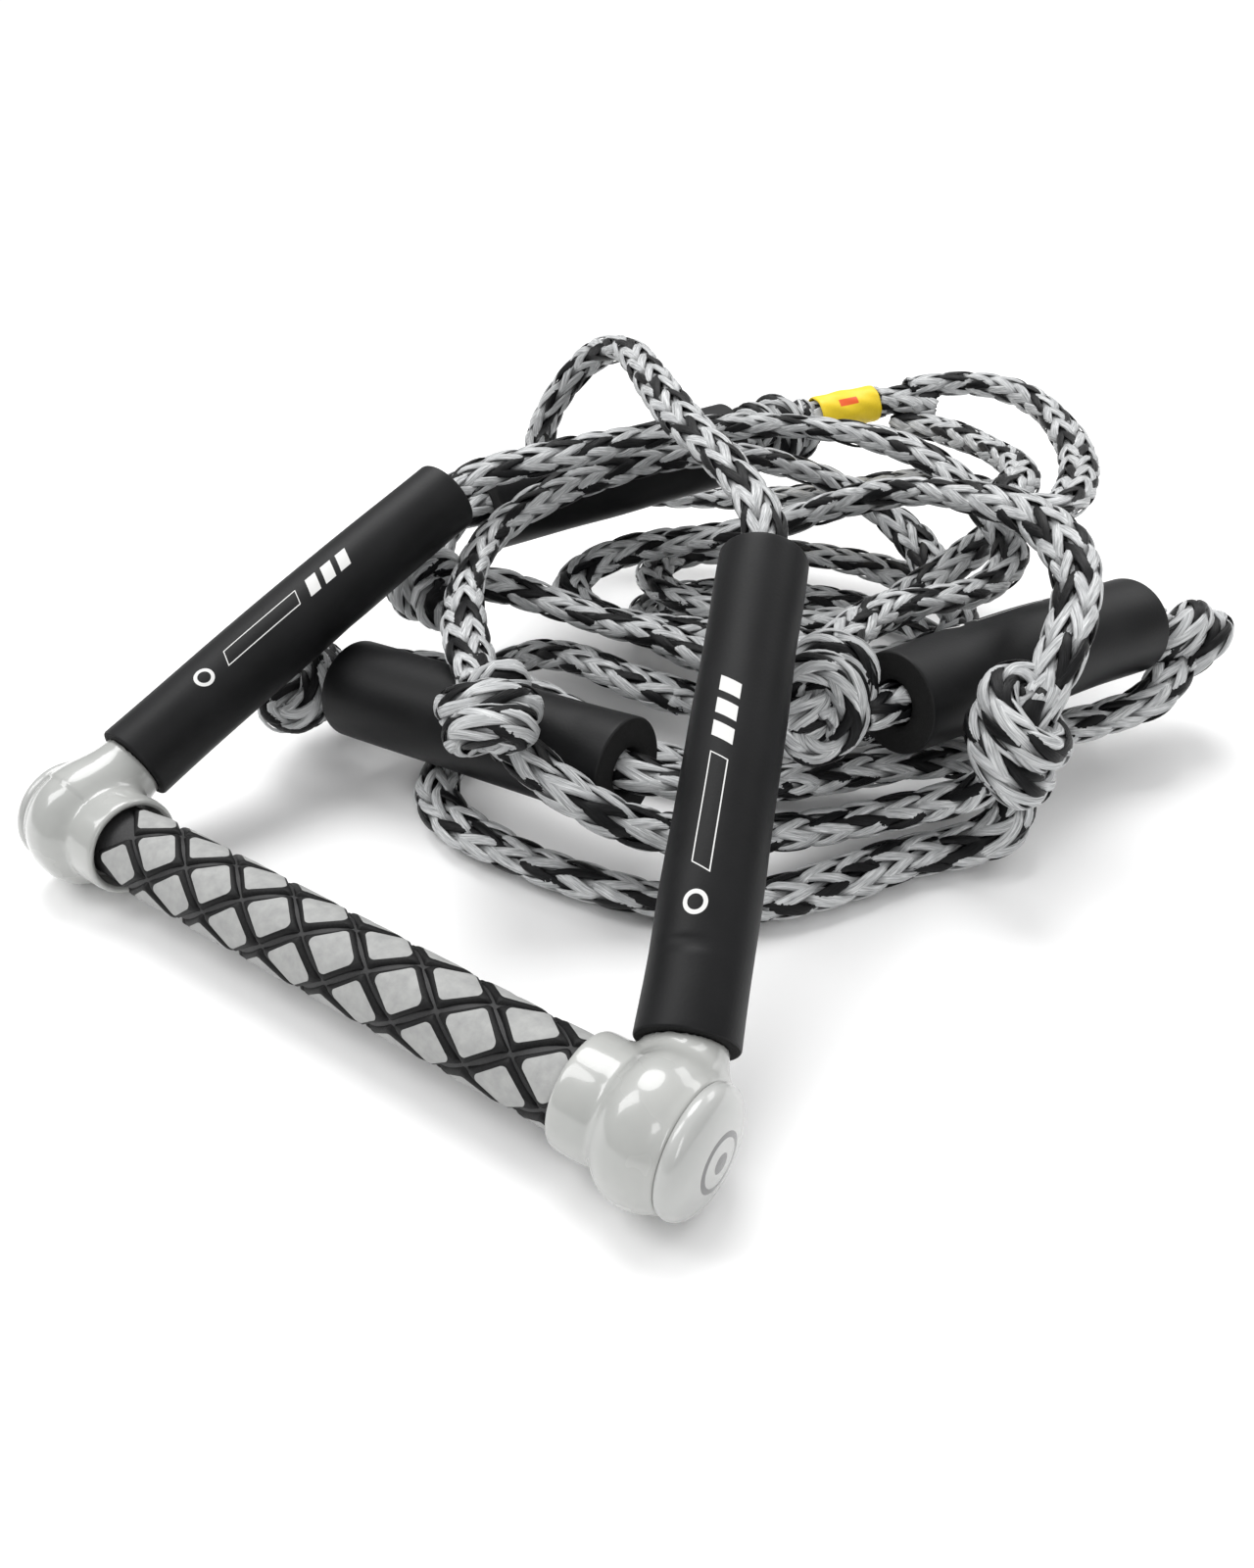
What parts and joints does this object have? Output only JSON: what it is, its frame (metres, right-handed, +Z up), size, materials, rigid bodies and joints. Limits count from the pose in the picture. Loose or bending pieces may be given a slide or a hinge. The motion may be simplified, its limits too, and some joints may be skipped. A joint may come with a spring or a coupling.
{
  "type": "tow rope handle",
  "caption": "Short surf and wakeboard tow handle with a padded grip, white end caps, foam-floated bridle and a heaped braided floating line ending in a tow eye.",
  "frame": {"origin": "on the floor under the middle of the handle's bar", "axes": "+X along the bar to the right end cap, +Y from the bar towards the heap of rope, +Z up"},
  "size_m": [0.3504, 0.4772, 0.1479],
  "materials": {
    "bar_aluminium": "anodised, hidden inside the grip",
    "core_foam": "closed-cell foam, hidden",
    "plug_black": "moulded, hidden",
    "grip_black": "matte moulded foam rubber",
    "grip_grey": "matte moulded foam rubber, light grey tops",
    "cap_white": "glossy pearl white moulding",
    "float_foam": "closed-cell foam skin, soft sheen",
    "bridle_braid": "silver-grey and black twelve-strand braid",
    "line_braid": "silver-grey and black twelve-strand braid",
    "label_yellow": "yellow printed band, print left out"
  },
  "bodies": {
    "handle_and_rope": {"bridle_knot": "bridle_braid", "bridle_rope_left": "bridle_braid", "bridle_rope_right": "bridle_braid", "end_cap_left": "cap_white", "end_cap_right": "cap_white", "end_disc_left": "cap_white", "end_disc_right": "cap_white", "eye_loop": "line_braid", "eye_splice": "line_braid", "foam_core": "core_foam", "grip_pads": "grip_grey", "grip_sleeve": "grip_black", "handle_tube": "bar_aluminium", "label_sleeve": "label_yellow", "line_knot_1": "line_braid", "line_knot_2": "line_braid", "line_knot_3": "line_braid", "line_knot_4": "line_braid", "line_knot_5": "line_braid", "line_knot_6": "line_braid", "line_section_1": "line_braid", "line_section_2": "line_braid", "line_section_3_coil": "line_braid", "line_section_3_front": "line_braid", "line_section_3_rear": "line_braid", "line_section_4": "line_braid", "line_section_5": "line_braid", "line_section_6": "line_braid", "line_section_7": "line_braid", "rope_bush_left": "cap_white", "rope_bush_right": "cap_white", "stopper_knot_left": "bridle_braid", "stopper_knot_right": "bridle_braid", "tube_plug_left": "plug_black", "tube_plug_right": "plug_black"},
    "line_float_1": {"line_float_1": "float_foam"},
    "line_float_2": {"line_float_2": "float_foam"},
    "line_float_3": {"line_float_3": "float_foam"},
    "bridle_float_left": {"bridle_float_left": "float_foam"},
    "bridle_float_right": {"bridle_float_right": "float_foam"}
  },
  "joints": [
    {"name": "bridle_float_left_spin", "type": "hinge", "parent": "handle_and_rope", "child": "bridle_float_left", "pos_m": [-0.11869, 0.10407, 0.06565], "axis": [0.0751, 0.9413, 0.3292], "continuous": true},
    {"name": "bridle_float_right_spin", "type": "hinge", "parent": "handle_and_rope", "child": "bridle_float_right", "pos_m": [0.08806, 0.09362, 0.07235], "axis": [-0.3565, 0.8049, 0.4743], "continuous": true},
    {"name": "line_float_1_spin", "type": "hinge", "parent": "handle_and_rope", "child": "line_float_1", "pos_m": [0.124, 0.2525, 0.057], "axis": [0.3437, 0.9381, -0.043], "continuous": true},
    {"name": "line_float_2_spin", "type": "hinge", "parent": "handle_and_rope", "child": "line_float_2", "pos_m": [-0.0355, 0.116, 0.03865], "axis": [0.9982, 0.0129, 0.0586], "continuous": true},
    {"name": "line_float_3_spin", "type": "hinge", "parent": "handle_and_rope", "child": "line_float_3", "pos_m": [-0.0999, 0.29025, 0.07675], "axis": [0.4107, 0.9098, 0.0601], "continuous": true}
  ]
}
